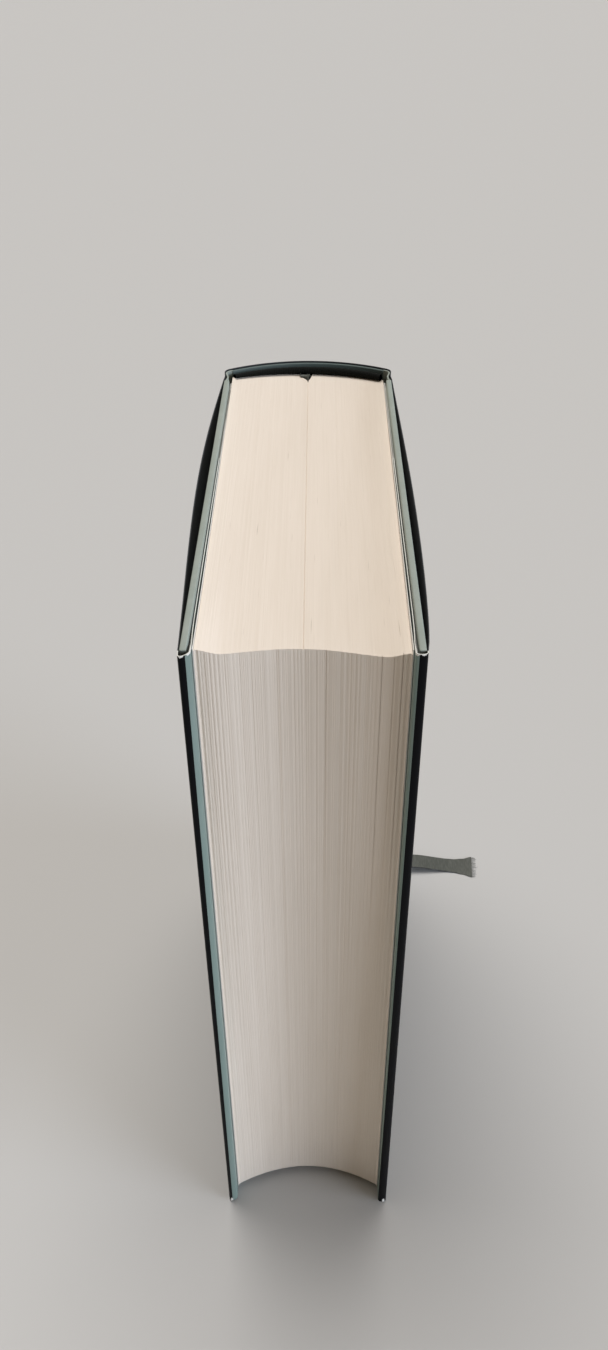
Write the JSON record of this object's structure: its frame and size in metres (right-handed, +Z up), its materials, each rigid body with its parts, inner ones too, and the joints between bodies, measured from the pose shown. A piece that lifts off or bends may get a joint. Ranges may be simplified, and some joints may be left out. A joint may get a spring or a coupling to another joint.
{
  "type": "hardcover book",
  "caption": "Thick hardcover book in a loose dust jacket, standing on its tail, with hinged covers, a rounded spine and a ribbon bookmark.",
  "frame": {"origin": "on the surface it stands on, midway between the two covers and midway from the fore edge folds to the back of the spine, the ribbon left out", "axes": "+Z up along the height of the book, +X from the front cover to the back cover, +Y from the fore edge to the spine"},
  "size_m": [0.0967, 0.1536, 0.221],
  "materials": {
    "page_paper": "matte",
    "endpaper": "matte",
    "headband_cloth": "satin",
    "lining_cloth": "matte",
    "greyboard": "matte",
    "sage_covering": "matte",
    "jacket_paper": "satin",
    "ribbon_satin": "satin"
  },
  "bodies": {
    "block": {"text_block": "page_paper", "front_flyleaf": "endpaper", "back_flyleaf": "endpaper", "head_band": "headband_cloth", "tail_band": "headband_cloth", "spine_lining": "lining_cloth", "spine_inlay": "greyboard", "spine_covering": "sage_covering", "jacket_spine": "jacket_paper", "ribbon": "ribbon_satin"},
    "front_cover": {"front_board": "greyboard", "front_covering": "sage_covering", "front_pastedown": "endpaper", "jacket_front": "jacket_paper"},
    "back_cover": {"back_board": "greyboard", "back_covering": "sage_covering", "back_pastedown": "endpaper", "jacket_back": "jacket_paper"}
  },
  "joints": [
    {"name": "front_cover_hinge", "type": "hinge", "parent": "block", "child": "front_cover", "pos_m": [-0.02403, 0.06496, 0.1105], "axis": [0, 0, -1], "range_deg": [0, 100]},
    {"name": "back_cover_hinge", "type": "hinge", "parent": "block", "child": "back_cover", "pos_m": [0.02403, 0.06496, 0.1105], "axis": [0, 0, 1], "range_deg": [0, 80]}
  ]
}
